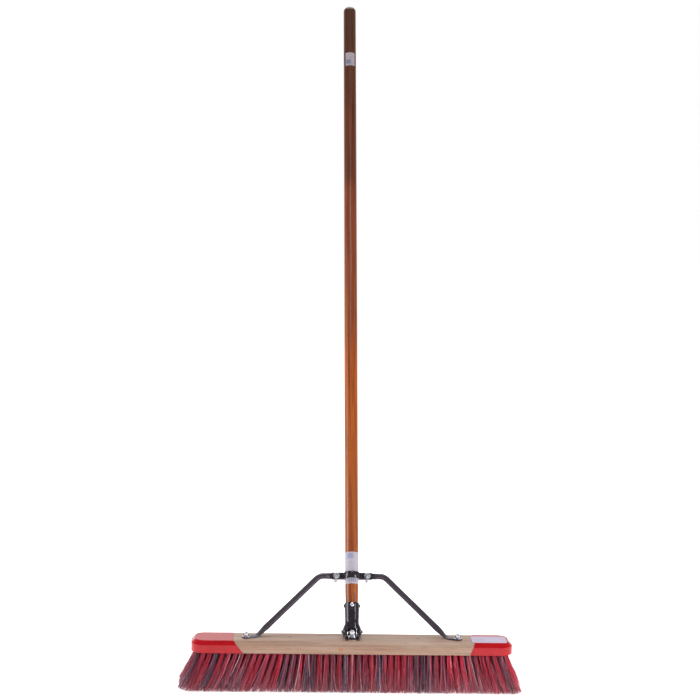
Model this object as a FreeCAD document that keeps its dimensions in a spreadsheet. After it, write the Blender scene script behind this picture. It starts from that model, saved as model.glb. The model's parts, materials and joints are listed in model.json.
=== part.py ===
import FreeCAD, Part
import math
import os
import Sketcher
from FreeCAD import Placement, Rotation, Vector

# Push broom with a braced wooden handle. Millimetres, +Z up, +Y to the rear (the side the handle leans
# to), origin on the floor under the middle of the block. The handle, its socket and the brace collar are
# drawn upright about their own Z axis and leaned back about X by the placement of each object.

SIZES = [
    # block
    ("block_length", 610.0, "24 inch hardwood block, end to end"),
    ("block_width", 76.0, "block, front to back"),
    ("block_thickness", 22.5, "block, underside to top face"),
    ("corner_radius", 25.5, "rounded corners of the block seen from above"),
    ("top_bevel", 7.5, "bevel round the block's top edge"),
    # resin dip on the two ends of the block
    ("coat_thickness", 0.4, "cured resin on the wood"),
    ("dip_left_top", 225.0, "from the middle to the left dip line at the top face"),
    ("dip_left_foot", 206.5, "the same at the underside"),
    ("dip_right_top", 232.0, "from the middle to the right dip line at the top face"),
    ("dip_right_foot", 223.0, "the same at the underside"),
    # bristles
    ("trim_length", 74.0, "bristles below the block"),
    ("tuft_rows", 5, "rows of tufts"),
    ("row_spacing", 13.0, "row to row"),
    ("tuft_pitch", 12.2, "tuft to tuft along a row"),
    ("end_margin", 12.0, "end of the block to the nearest hole centre, at least"),
    ("tuft_root", 5.8, "diameter of a tuft at the bottom of its hole"),
    ("tuft_tip", 11.6, "diameter of a tuft at the floor"),
    ("tuft_hole", 7.4, "hole for a tuft"),
    ("tuft_hole_depth", 15.5, "blind hole for a tuft"),
    ("tuft_seat", 13.5, "depth of the tuft's folded end in its hole"),
    ("staple_wire", 1.2, "wire of the anchor staple over each tuft"),
    ("staple_length", 6.2, "anchor staple across the hole"),
    ("tuft_gap", 0.3, "clear between the two tufts that meet under the middle bolt"),
    ("left_lean", 31.0, "how far the tufts of the left end lean out along the block"),
    ("left_lean_from", 40.0, "where that lean begins, from the middle"),
    ("left_lean_to", 200.0, "where it is full"),
    ("right_lean", 26.0, "how far the tufts of the right end lean out"),
    ("right_lean_from", 130.0, "where that lean begins"),
    ("right_lean_to", 290.0, "where it is full"),
    ("side_flare", 11.0, "how far the outer rows lean out to the front and rear"),
    # handle
    ("handle_lean", 30.0, "handle axis from the vertical"),
    ("handle_diameter", 26.0, "1 inch hardwood handle"),
    ("handle_top", 1384.0, "top of the handle from the block, along its axis"),
    ("handle_foot", 30.0, "lower end of the wood from the block, along its axis"),
    ("handle_foot_diameter", 23.2, "the wood at its lower end"),
    ("handle_neck_diameter", 24.6, "the wood at the socket's mouth"),
    ("handle_seat_relief", 0.2, "how much thinner the wood is where the taper to the socket begins"),
    ("handle_taper_start", 92.0, "where that taper begins"),
    ("grip_start", 175.0, "lower end of the straight grip, above the label"),
    ("handle_end_round", 9.0, "rounding of the top end"),
    # socket
    ("socket_mouth", 66.5, "mouth of the socket from the block, along the axis"),
    ("socket_mouth_diameter", 29.0, "socket outside at the mouth"),
    ("socket_throat", 29.0, "where the tube ends and the two lobes begin"),
    ("socket_throat_diameter", 27.0, "socket outside at the throat"),
    ("tongue_foot", 15.0, "where the front and rear walls end, above the nut"),
    ("tongue_gap", 0.6, "between those walls and the lugs beside them"),
    ("lobe_height", 12.0, "height of the lobes' widest point"),
    ("lobe_width", 37.3, "across the two lobes"),
    ("lobe_foot", 3.0, "lower edge of the lobes"),
    ("lobe_front", 12.0, "front edge of each lobe from the axis"),
    ("lobe_rear", 8.0, "rear edge of each lobe from the axis"),
    ("socket_wall", 1.6, "sheet steel of the socket"),
    ("channel_width", 9.0, "pressed channel down the front"),
    ("channel_depth", 1.0, "depth of the channel"),
    ("channel_rise", 56.0, "top of the channel"),
    ("rib_count", 6, "pressed ribs across the channel"),
    ("rib_pitch", 6.75, "rib to rib"),
    ("rib_first", 18.9, "lowest rib"),
    ("rib_width", 2.2, "each rib, along the socket"),
    ("rivet_height", 62.6, "cross rivet through socket and handle"),
    ("rivet_diameter", 4.0, "cross rivet shank"),
    ("rivet_head", 7.0, "cross rivet head"),
    ("screw_height", 61.5, "retaining screw in the front of the socket"),
    ("screw_diameter", 3.6, "retaining screw shank"),
    ("screw_head", 7.4, "retaining screw head"),
    # base bracket on the block
    ("plate_width", 27.0, "base plate across"),
    ("plate_front", 14.0, "base plate forward of the bolt"),
    ("plate_rear", 21.0, "base plate behind the bolt"),
    ("plate_thickness", 2.5, "base plate and its side lugs"),
    ("prong_reach", 10.0, "the two prongs forward of the plate"),
    ("prong_width", 3.4, "each prong across"),
    ("lug_inset", 9.8, "inner face of each side lug from the middle"),
    ("lug_height", 21.0, "side lugs above the block"),
    ("ear_rivet_diameter", 4.8, "rivets through lobes and lugs"),
    ("ear_rivet_head", 9.0, "heads of those rivets"),
    # main bolt, three eighths of an inch
    ("main_bolt_diameter", 9.5, "bolt through block and base plate"),
    ("main_bolt_play", 0.8, "how much wider its hole is"),
    ("main_head_diameter", 16.0, "round head under the block"),
    ("main_head_height", 4.2, "height of that head"),
    ("main_nut_flats", 14.3, "hex nut across flats"),
    ("main_nut_height", 8.3, "hex nut height"),
    ("main_washer_diameter", 19.0, "plain washer"),
    ("main_washer_thickness", 1.6, "plain washer"),
    ("lock_washer_diameter", 16.0, "split lock washer"),
    ("lock_washer_thickness", 2.2, "split lock washer"),
    # brace arms
    ("arm_diameter", 11.5, "round steel tube"),
    ("arm_wall", 1.2, "wall of the tube"),
    ("elbow_out", 62.0, "elbow from the middle"),
    ("elbow_radius", 20.0, "elbow, to the middle of the tube"),
    ("foot_bend_out", 181.0, "bend where the foot meets the block"),
    ("foot_bolt_out", 201.3, "foot bolt from the middle"),
    ("foot_bolt_forward", 6.5, "foot bolt forward of the middle"),
    ("tab_width", 16.7, "flattened foot across"),
    ("tab_thickness", 2.4, "flattened ends"),
    ("grip_width", 12.6, "flattened upper end across"),
    # brace collar
    ("collar_height", 122.0, "middle of the collar along the handle axis"),
    ("collar_width", 13.0, "strap width"),
    ("collar_strap", 2.2, "strap thickness"),
    ("collar_reach", 39.0, "end of each ear from the middle"),
    ("collar_bolt_out", 30.0, "clamp bolt from the middle"),
    # quarter inch fasteners
    ("small_bolt", 6.35, "bolt diameter"),
    ("small_bolt_play", 0.65, "how much wider its holes are"),
    ("small_nut_flats", 11.1, "nut across flats"),
    ("small_nut_height", 5.6, "nut height"),
    ("small_washer_diameter", 15.9, "washer under the foot nut"),
    ("small_washer_thickness", 1.3, "washer under the foot nut"),
    ("collar_head_flange", 12.7, "washer face under the clamp bolt's head"),
    ("collar_head_flats", 9.5, "clamp bolt head across flats"),
    ("collar_head_height", 5.0, "clamp bolt head with its washer face"),
    ("collar_bolt_length", 38.0, "clamp bolt under its head"),
    ("foot_head_diameter", 15.0, "foot bolt head under the block"),
    ("foot_head_height", 3.4, "foot bolt head under the block"),
    ("thread_stand", 2.4, "thread standing out of a nut"),
    # paper labels
    ("label_thickness", 0.15, "printed label stock"),
    ("label_low", 104.0, "handle label, lower edge along the axis"),
    ("label_high", 167.5, "handle label, upper edge"),
    ("sticker_drop", 115.0, "small sticker, its upper edge from the handle's top"),
    ("sticker_height", 31.0, "small sticker, along the handle"),
    ("sticker_arc", 92.0, "degrees of the handle that it covers"),
    ("decal_inner", 227.5, "block label, inner edge from the middle"),
    ("decal_outer", 294.0, "block label, outer edge"),
    ("decal_front", 30.0, "block label, front edge from the middle"),
    ("decal_rear", 18.0, "block label, rear edge from the middle"),
    ("decal_corner", 6.0, "its rounded corners"),
]

doc = FreeCAD.newDocument("push_broom")
sheet = doc.addObject("Spreadsheet::Sheet", "sizes")
for row, (alias, value, meaning) in enumerate(SIZES, start=1):
    sheet.set("A%d" % row, alias)
    sheet.set("B%d" % row, str(value))
    sheet.set("C%d" % row, meaning)
    sheet.setAlias("B%d" % row, alias)
doc.recompute()

nodes = []


def size(expression):
    """The number that an expression over the sheet gives now."""
    return float(sheet.evalExpression(expression))


def bind(thing, **properties):
    """Bind properties to expressions; a double underscore stands for the dot in a property path."""
    for name, expression in properties.items():
        thing.setExpression(name.replace("__", "."), expression)
    return thing


def node(thing, label):
    """Mark an object as a finished sub-part."""
    thing.Label = label
    nodes.append(thing)
    return thing


MAIN_HOLE = "(sizes.main_bolt_diameter + sizes.main_bolt_play)"
SMALL_HOLE = "(sizes.small_bolt + sizes.small_bolt_play)"
BLOCK_TOP = "(sizes.trim_length + sizes.block_thickness)"


def place(thing, x="0", y="0", z="0"):
    """Put an object at a point given by three expressions."""
    return bind(
        thing, Placement__Base__x=x, Placement__Base__y=y, Placement__Base__z=z
    )


def lean(thing, up="0"):
    """Lean an object back with the handle, its own origin moved up the handle axis."""
    thing.Placement = Placement(Vector(0, 0, 0), Rotation(Vector(-1, 0, 0), 30))
    bind(thing, Placement__Rotation__Angle="sizes.handle_lean")
    return place(
        thing,
        y="(%s) * sin(sizes.handle_lean)" % up,
        z="%s + (%s) * cos(sizes.handle_lean)" % (BLOCK_TOP, up),
    )


def upright(x, y, up):
    """A point of the handle's own frame, in the row's frame."""
    turn = Rotation(Vector(-1, 0, 0), size("sizes.handle_lean"))
    return turn.multVec(Vector(x, y, up)) + Vector(0, 0, size(BLOCK_TOP))


# ---------------------------------------------------------------- sketches and features


def origin_part(body, role):
    return [f for f in body.Origin.OriginFeatures if f.Role == role][0]


def sketch_on(body, name, role, height="0"):
    """A sketch on one of the body's own planes, moved along its normal by an expression."""
    sketch = body.newObject("Sketcher::SketchObject", name)
    sketch.AttachmentSupport = [(origin_part(body, role), "")]
    sketch.MapMode = "FlatFace"
    sketch.setExpression("AttachmentOffset.Base.z", height)
    return sketch


def outline(body, name, role, corners, height="0"):
    """A closed polygon whose corners are pairs of expressions."""
    sketch = sketch_on(body, name, role, height)
    spots = [Vector(size(x), size(y), 0) for x, y in corners]
    count = len(spots)
    for i, spot in enumerate(spots):
        sketch.addGeometry(Part.LineSegment(spot, spots[(i + 1) % count]), False)
    for i in range(count):
        sketch.addConstraint(Sketcher.Constraint("Coincident", i, 2, (i + 1) % count, 1))
    for i, (x, y) in enumerate(corners):
        for kind, number, expression in (("DistanceX", spots[i].x, x), ("DistanceY", spots[i].y, y)):
            index = sketch.addConstraint(Sketcher.Constraint(kind, -1, 1, i, 1, number))
            sketch.setExpression("Constraints[%d]" % index, expression)
    return sketch


def discs(body, name, role, circles, height="0"):
    """Circles, each given by expressions for x, y and diameter."""
    sketch = sketch_on(body, name, role, height)
    for i, (x, y, across) in enumerate(circles):
        middle = Vector(size(x), size(y), 0)
        sketch.addGeometry(Part.Circle(middle, Vector(0, 0, 1), size(across) / 2), False)
        bound = (
            (Sketcher.Constraint("DistanceX", -1, 1, i, 3, middle.x), x),
            (Sketcher.Constraint("DistanceY", -1, 1, i, 3, middle.y), y),
            (Sketcher.Constraint("Diameter", i, size(across)), across),
        )
        for constraint, expression in bound:
            index = sketch.addConstraint(constraint)
            sketch.setExpression("Constraints[%d]" % index, expression)
    return sketch


def pad(body, name, sketch, length, both_ways=False, reverse=False):
    feature = body.newObject("PartDesign::Pad", name)
    feature.Profile = sketch
    feature.Midplane = both_ways
    feature.Reversed = reverse
    feature.setExpression("Length", length)
    doc.recompute()
    return feature


def pocket(body, name, sketch, length, both_ways=False, reverse=False):
    feature = body.newObject("PartDesign::Pocket", name)
    feature.Profile = sketch
    feature.Midplane = both_ways
    feature.Reversed = reverse
    feature.setExpression("Length", length)
    doc.recompute()
    return feature


def revolve(body, name, sketch, angle="360"):
    feature = body.newObject("PartDesign::Revolution", name)
    feature.Profile = sketch
    feature.ReferenceAxis = (origin_part(body, "Z_Axis"), [""])
    feature.Midplane = True
    feature.setExpression("Angle", angle)
    doc.recompute()
    return feature


def edges_where(shape, test):
    return ["Edge%d" % (i + 1) for i, edge in enumerate(shape.Edges) if test(edge)]


def dress(body, name, kind, base, test, amount):
    """Fillet or chamfer of the edges of a feature that pass a test."""
    feature = body.newObject("PartDesign::" + kind, name)
    feature.Base = (base, edges_where(base.Shape, test))
    feature.setExpression("Radius" if kind == "Fillet" else "Size", amount)
    doc.recompute()
    return feature


def new_body(name):
    return doc.addObject("PartDesign::Body", name)


# ---------------------------------------------------------------- primitives for the hardware


def cylinder(name, across, height, z="0", **more):
    thing = doc.addObject("Part::Cylinder", name)
    bind(thing, Radius="(%s) / 2" % across, Height=height, Placement__Base__z=z, **more)
    return thing


def cone(name, low, high, height, z="0"):
    thing = doc.addObject("Part::Cone", name)
    bind(thing, Radius1="(%s) / 2" % low, Radius2="(%s) / 2" % high, Height=height)
    return bind(thing, Placement__Base__z=z)


def hexagon(name, flats, height, z="0"):
    thing = doc.addObject("Part::Prism", name)
    thing.Polygon = 6
    bind(thing, Circumradius="(%s) / (2 * cos(30))" % flats, Height=height)
    return bind(thing, Placement__Base__z=z)


def block_of(name, x, y, z, at_x="0", at_y="0", at_z="0"):
    thing = doc.addObject("Part::Box", name)
    bind(thing, Length=x, Width=y, Height=z)
    return place(thing, at_x, at_y, at_z)


def fuse(name, parts):
    thing = doc.addObject("Part::MultiFuse", name)
    thing.Shapes = parts
    thing.Refine = True
    return thing


def cut(name, base, tool):
    thing = doc.addObject("Part::Cut", name)
    thing.Base = base
    thing.Tool = tool
    return thing


def common(name, parts):
    thing = doc.addObject("Part::MultiCommon", name)
    thing.Shapes = parts
    return thing


def from_shape(name, shape):
    """A feature for a form that sketches and primitives don't reach."""
    thing = doc.addObject("Part::Feature", name)
    thing.Shape = shape
    return thing


# ---------------------------------------------------------------- layout of the tufts


def ladder(start, stop, step):
    """Numbers from start up to stop, a step apart."""
    return [start + step * k for k in range(int((stop - start) / step + 1e-6) + 1)]


def bolt_keep_outs():
    """Centre and radius of each round bolt head under the block."""
    foot = size("sizes.foot_bolt_out"), -size("sizes.foot_bolt_forward")
    small = size("sizes.foot_head_diameter / 2")
    return [
        (0.0, 0.0, size("sizes.main_head_diameter / 2")),
        (foot[0], foot[1], small),
        (-foot[0], foot[1], small),
    ]


def smooth_rise(value, start, full):
    """0 up to the start, 1 from full on, an even curve between."""
    share = min(max((value - start) / (full - start), 0.0), 1.0)
    return share * share * (3 - 2 * share)


def lean_out(side, x):
    """How far along the block a tuft leans out, x from the middle."""
    end = "left" if side < 0 else "right"
    start, full = size("sizes.%s_lean_from" % end), size("sizes.%s_lean_to" % end)
    return size("sizes.%s_lean" % end) * smooth_rise(x, start, full)


def clear_of_bolts(x, y):
    """Is there room for a tuft's hole beside the bolt heads?"""
    near = size("sizes.tuft_hole / 2") + 0.4
    return all(math.hypot(x - bolt[0], y - bolt[1]) >= bolt[2] + near for bolt in bolt_keep_outs())


def tuft_places(row):
    """Root and tip of every tuft of one row, on the underside of the block and on the floor."""
    pitch = size("sizes.tuft_pitch")
    middle = (size("sizes.tuft_rows") - 1) / 2
    y = (row - middle) * size("sizes.row_spacing")
    tip_y = y + size("sizes.side_flare") * (row - middle) / middle
    last = size("sizes.block_length / 2 - sizes.end_margin")
    # every second row is set half a pitch along
    stations = ladder(pitch / 2 if (row - middle) % 2 else 0.0, last, pitch)
    # in the middle row the first tufts lean in until they meet under the bolt, the next ones less and less
    first = next(x for x in stations if clear_of_bolts(x, y))
    gather = first - size("sizes.tuft_tip / 2 + sizes.tuft_gap / 2") if row == middle else 0.0
    places = []
    for x in stations:
        for side in (-1, 1) if x else (1,):
            if clear_of_bolts(side * x, y):
                lean_in = gather * (last - x) / (last - first)
                tip = Vector(side * (x - lean_in + lean_out(side, x)), tip_y, 0)
                places.append((Vector(side * x, y, 0), tip))
    return places


def tuft_axis(root, tip, depth):
    """Centre of a tuft at a depth inside the block; depth is negative below the underside."""
    fall = size("sizes.trim_length")
    middle = root + (root - tip) * (depth / fall)
    return Vector(middle.x, middle.y, fall + depth)


def tuft_shape(root, tip):
    seat = size("sizes.tuft_seat")
    rings = (
        (tuft_axis(root, tip, seat), size("sizes.tuft_root / 2")),
        (tip, size("sizes.tuft_tip / 2")),
    )
    wires = [Part.Wire([Part.makeCircle(radius, middle, Vector(0, 0, 1))]) for middle, radius in rings]
    return Part.makeLoft(wires, True, True)


def tuft_hole_shape(root, tip):
    depth = size("sizes.tuft_hole_depth")
    low = tuft_axis(root, tip, -1.5)
    high = tuft_axis(root, tip, depth)
    axis = high - low
    return Part.makeCylinder(size("sizes.tuft_hole / 2"), axis.Length, low, axis)


def staple_shape(root, tip):
    """The wire that holds a tuft down, lying across the bottom of its hole."""
    wire = size("sizes.staple_wire / 2")
    middle = tuft_axis(root, tip, size("sizes.tuft_seat") + wire + 0.1)
    length = size("sizes.staple_length")
    return Part.makeCylinder(wire, length, middle - Vector(length / 2, 0, 0), Vector(1, 0, 0))


# ---------------------------------------------------------------- sub-parts


def slab(name, grow):
    """The block's outer form in a body, larger all round by an expression."""
    body = new_body(name)
    half_x = "(sizes.block_length / 2 + %s)" % grow
    half_y = "(sizes.block_width / 2 + %s)" % grow
    corners = [("-" + half_x, "-" + half_y), (half_x, "-" + half_y), (half_x, half_y), ("-" + half_x, half_y)]
    plan = outline(body, name + "_plan", "XY_Plane", corners)
    solid = pad(body, name + "_pad", plan, "sizes.block_thickness + %s" % grow)
    upright_edge = lambda edge: abs(edge.tangentAt(edge.FirstParameter).z) > 0.99
    rounded = dress(
        body, name + "_corners", "Fillet", solid, upright_edge, "sizes.corner_radius + %s" % grow
    )
    height = size("sizes.block_thickness + %s" % grow)
    top_edge = lambda edge: edge.BoundBox.ZMin > height - 0.01
    # an offset bevel keeps its distance to the first one with this much more size
    bevel = "sizes.top_bevel + %s * (2 - sqrt(2))" % grow
    dress(body, name + "_bevel", "Chamfer", rounded, top_edge, bevel)
    return body


def make_block():
    body = slab("block_body", "0")
    out, forward = "sizes.foot_bolt_out", "-sizes.foot_bolt_forward"
    holes = [
        ("0", "0", MAIN_HOLE),
        (out, forward, SMALL_HOLE),
        ("-" + out, forward, SMALL_HOLE),
    ]
    ring = discs(body, "bolt_holes", "XY_Plane", holes)
    pocket(body, "bolt_hole_cut", ring, "sizes.block_thickness", reverse=True)
    place(body, z="sizes.trim_length")
    rows = range(int(size("sizes.tuft_rows")))
    drills = [tuft_hole_shape(root, tip) for row in rows for root, tip in tuft_places(row)]
    drilled = cut("block_drilled", body, from_shape("tuft_drills", Part.makeCompound(drills)))
    return node(drilled, "block")


def make_coats():
    """The resin left on the two ends after dipping, stopping at a slanted line."""
    bare = slab("coat_core", "0")
    place(bare, z="sizes.trim_length")
    for side, name in ((-1, "left"), (1, "right")):
        outer = slab("coat_outer_" + name, "sizes.coat_thickness")
        place(outer, z="sizes.trim_length")
        wedge = new_body("dip_" + name)
        far = "%d * (sizes.block_length / 2 + 10)" % side
        top, foot = "%d * sizes.dip_%s_top" % (side, name), "%d * sizes.dip_%s_foot" % (side, name)
        # the slope of the dip line, carried a little above and below the block
        slope = "(%s - %s) / sizes.block_thickness" % (top, foot)
        corners = [
            ("%s - 5 * %s" % (foot, slope), "-5"),
            (far, "-5"),
            (far, "sizes.block_thickness + 5"),
            ("%s + 5 * %s" % (top, slope), "sizes.block_thickness + 5"),
        ]
        side_view = outline(wedge, "dip_line_" + name, "XZ_Plane", corners)
        pad(wedge, "dip_zone_" + name, side_view, "sizes.block_width + 20", both_ways=True)
        place(wedge, z="sizes.trim_length")
        dipped = common("coat_dipped_" + name, [outer, wedge])
        node(cut("coat_" + name, dipped, bare), "dip_coat_" + name)


def make_tufts():
    staples = []
    for row in range(int(size("sizes.tuft_rows"))):
        places = tuft_places(row)
        tufts = [tuft_shape(root, tip) for root, tip in places]
        staples += [staple_shape(root, tip) for root, tip in places]
        node(from_shape("tufts_%d" % (row + 1), Part.makeCompound(tufts)), "tuft_row_%d" % (row + 1))
    node(from_shape("staples", Part.makeCompound(staples)), "tuft_staples")


def cross_hole(body, name, role, across, height, length, x="0"):
    """A round hole through a body, square to one of its upright planes."""
    ring = discs(body, name, role, [(x, height, across)])
    return pocket(body, name + "_cut", ring, length, both_ways=True)


def make_handle():
    body = new_body("handle_body")
    foot, top = "sizes.handle_foot", "sizes.handle_top"
    full, end = "sizes.handle_diameter / 2", "sizes.handle_end_round"
    corners = [
        ("0", foot),
        ("sizes.handle_foot_diameter / 2 - 0.8", foot),
        ("sizes.handle_foot_diameter / 2", foot + " + 0.8"),
        ("sizes.handle_neck_diameter / 2", "sizes.socket_mouth + 1"),
        ("(sizes.handle_diameter - sizes.handle_seat_relief) / 2", "sizes.handle_taper_start"),
        (full, "sizes.grip_start"),
        (full, top),
        ("0", top),
    ]
    turned = revolve(body, "handle_turned", outline(body, "handle_profile", "XZ_Plane", corners))
    high = size(top)
    rim = lambda edge: edge.BoundBox.ZMin > high - 0.01 and len(edge.Vertexes) == 1
    dress(body, "handle_end", "Fillet", turned, rim, end)
    rivet = "sizes.rivet_diameter + 0.3"
    cross_hole(body, "handle_rivet_hole", "YZ_Plane", rivet, "sizes.rivet_height", "60")
    screw = discs(body, "screw_pilot", "XZ_Plane", [("0", "sizes.screw_height", "sizes.screw_diameter + 0.3")])
    pocket(body, "screw_pilot_cut", screw, "60", reverse=True)
    return node(lean(body), "handle")


def lobe_profile(inset):
    """Outside of the socket from mouth to lobe foot, drawn in by an expression."""
    lobe, throat = "sizes.lobe_width / 2", "sizes.socket_throat_diameter / 2"
    drop = "(sizes.socket_throat - sizes.lobe_height)"
    swell = "(%s - %s)" % (lobe, throat)
    return [
        ("sizes.socket_mouth_diameter / 2 - %s" % inset, "sizes.socket_mouth"),
        ("%s - %s" % (throat, inset), "sizes.socket_throat"),
        ("%s + 0.22 * %s - %s" % (throat, swell, inset), "sizes.socket_throat - 0.22 * " + drop),
        ("%s + 0.78 * %s - %s" % (throat, swell, inset), "sizes.socket_throat - 0.66 * " + drop),
        ("%s - %s" % (lobe, inset), "sizes.lobe_height"),
        ("%s - 0.5 - %s" % (lobe, inset), "sizes.lobe_height * 0.6 + sizes.lobe_foot * 0.4"),
        ("%s - 2.2 - %s" % (lobe, inset), "sizes.lobe_foot"),
    ]


def make_socket():
    body = new_body("socket_body")
    corners = lobe_profile("0") + lobe_profile("sizes.socket_wall")[::-1]
    revolve(body, "socket_shell", outline(body, "socket_profile", "XZ_Plane", corners))
    # the flared foot is open to the front and rear, which leaves the two lobes
    half = "sizes.lobe_width"
    low, high = "-20", "sizes.socket_throat - 2"
    far = "sizes.lobe_width"
    for name, sign, near in (("front", "-", "sizes.lobe_front"), ("rear", "", "sizes.lobe_rear")):
        gate = [(sign + near, low), (sign + far, low), (sign + far, high), (sign + near, high)]
        opening = outline(body, "lobe_gap_" + name, "YZ_Plane", gate)
        pocket(body, "lobe_gap_cut_" + name, opening, half + " * 2", both_ways=True)
    # between the lobes the tube's front and rear walls run on down, inside the two lugs
    outside = "(sizes.socket_throat_diameter / 2)"
    inside = "(sizes.socket_throat_diameter / 2 - sizes.socket_wall)"
    spread = "2 * asin((sizes.lug_inset - sizes.tongue_gap) / %s)" % outside
    for name, sign in (("front", "-"), ("rear", "")):
        wall = [
            (sign + outside, "sizes.tongue_foot"),
            (sign + outside, "sizes.socket_throat + 1"),
            (sign + inside, "sizes.socket_throat + 1"),
            (sign + inside, "sizes.tongue_foot"),
        ]
        revolve(body, "tongue_" + name, outline(body, "tongue_outline_" + name, "YZ_Plane", wall), spread)
    # the lobes stop just above the block
    rise = "(1 %s 40 * sin(sizes.handle_lean)) / cos(sizes.handle_lean)"
    under = [("-40", rise % "-"), ("-40", "-60"), ("40", "-60"), ("40", rise % "+")]
    trim = outline(body, "foot_trim", "YZ_Plane", under)
    pocket(body, "foot_trim_cut", trim, half + " * 2", both_ways=True)
    cross_hole(
        body, "socket_rivet_hole", "YZ_Plane", "sizes.rivet_diameter + 0.3", "sizes.rivet_height", "60"
    )
    cross_hole(
        body, "ear_rivet_hole", "YZ_Plane", "sizes.ear_rivet_diameter + 0.3", "sizes.lobe_height", "60"
    )
    # shallow channel down the front, from the opening upwards
    reach = "sizes.socket_mouth_diameter / 2 + 5"
    wide = "sizes.channel_width / 2"
    strip = [("-" + wide, "10"), (wide, "10"), (wide, "sizes.channel_rise"), ("-" + wide, "sizes.channel_rise")]
    channel = outline(body, "channel", "XZ_Plane", strip, reach)
    deep = "%s - (sizes.socket_throat_diameter / 2 - sizes.channel_depth)" % reach
    pocket(body, "channel_cut", channel, deep)
    screw = discs(body, "screw_hole", "XZ_Plane", [("0", "sizes.screw_height", "sizes.screw_diameter + 0.3")])
    pocket(body, "screw_hole_cut", screw, "60", reverse=True)
    # pressed ribs across the channel
    rib_low, rib_high = "sizes.rib_first", "sizes.rib_first + sizes.rib_width"
    slot = "(sizes.channel_width / 2 - 0.4)"
    bar = [("-" + slot, rib_low), (slot, rib_low), (slot, rib_high), ("-" + slot, rib_high)]
    inner = "sizes.socket_throat_diameter / 2 - sizes.socket_wall + 0.35"
    rib = pad(body, "rib", outline(body, "rib_outline", "XZ_Plane", bar, inner), "sizes.socket_wall - 0.5")
    body.Tip = rib
    row = body.newObject("PartDesign::LinearPattern", "ribs")
    row.Originals = [rib]
    row.Direction = (origin_part(body, "Z_Axis"), [""])
    row.Mode = "Spacing"
    row.setExpression("Offset", "sizes.rib_pitch")
    row.setExpression("Occurrences", "sizes.rib_count")
    body.Tip = row
    doc.recompute()
    return node(lean(body), "socket")


def along_x(thing, x="0", y="0", z="0"):
    """Turn an upright object so that its Z axis lies along +X, at a point of the handle's frame."""
    tilt = "sizes.handle_lean"
    thing.Placement = Placement(Vector(0, 0, 0), Rotation(Vector(0, 1, 0), 90))
    return place(
        thing, x, "(%s) * cos(%s) + (%s) * sin(%s)" % (y, tilt, z, tilt),
        "%s + (%s) * cos(%s) - (%s) * sin(%s)" % (BLOCK_TOP, z, tilt, y, tilt),
    )


def along_bolt(thing, x="0", y="0", z="0"):
    """Turn an upright object so that its Z axis runs front to rear, square to the handle."""
    tilt = "sizes.handle_lean"
    thing.Placement = Placement(Vector(0, 0, 0), Rotation(Vector(-1, 0, 0), 120))
    bind(thing, Placement__Rotation__Angle="%s + 90" % tilt)
    return place(
        thing, x, "(%s) * cos(%s) + (%s) * sin(%s)" % (y, tilt, z, tilt),
        "%s + (%s) * cos(%s) - (%s) * sin(%s)" % (BLOCK_TOP, z, tilt, y, tilt),
    )


def make_socket_fasteners():
    # cross rivet: shank with a low round head at each side
    reach = "(sizes.socket_mouth_diameter / 2)"
    head = "sizes.rivet_head"
    pieces = [
        cylinder("rivet_shank", "sizes.rivet_diameter", "2 * %s + 2" % reach, "-%s - 1" % reach),
        cone("rivet_head_right", head, head + " * 0.6", "1.5", reach),
        cone("rivet_head_left", head + " * 0.6", head, "1.5", "-%s - 1.5" % reach),
    ]
    rivet = fuse("rivet", pieces)
    node(along_x(rivet, z="sizes.rivet_height"), "socket_rivet")

    # retaining screw: shank into the wood and a pan head in front
    face = "(sizes.socket_mouth_diameter / 2)"
    pieces = [
        cylinder("screw_shank", "sizes.screw_diameter", "8"),
        cone("screw_point", "sizes.screw_diameter", "0.8", "2.2", "8"),
        cylinder("screw_rim", "sizes.screw_head", "0.9", "-0.9"),
        cone("screw_dome", "sizes.screw_head * 0.55", "sizes.screw_head", "1.1", "-2.0"),
    ]
    slot = block_of("screw_slot", "9", "1.1", "0.8", "-4.5", "-0.55", "-2.1")
    screw = cut("screw", fuse("screw_blank", pieces), slot)
    node(along_bolt(screw, y="-" + face, z="sizes.screw_height"), "socket_screw")

    # one rivet through each lobe and lug
    inner, outer = "(sizes.lug_inset - 0.1)", "(sizes.lobe_width / 2 + 0.1)"
    for side, name in ((-1, "left"), (1, "right")):
        pieces = [
            cylinder("ear_shank_" + name, "sizes.ear_rivet_diameter", "%s - %s" % (outer, inner), inner),
            cone("ear_head_" + name, "sizes.ear_rivet_head", "sizes.ear_rivet_head * 0.6", "1.6", outer),
            cylinder("ear_button_" + name, "sizes.ear_rivet_diameter + 2", "0.8", inner + " - 0.8"),
        ]
        ear = fuse("ear_rivet_" + name, pieces)
        along_x(ear, z="sizes.lobe_height")
        if side < 0:
            ear.Placement.Rotation = Rotation(Vector(0, 1, 0), -90)
        node(ear, "ear_rivet_" + name)


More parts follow.
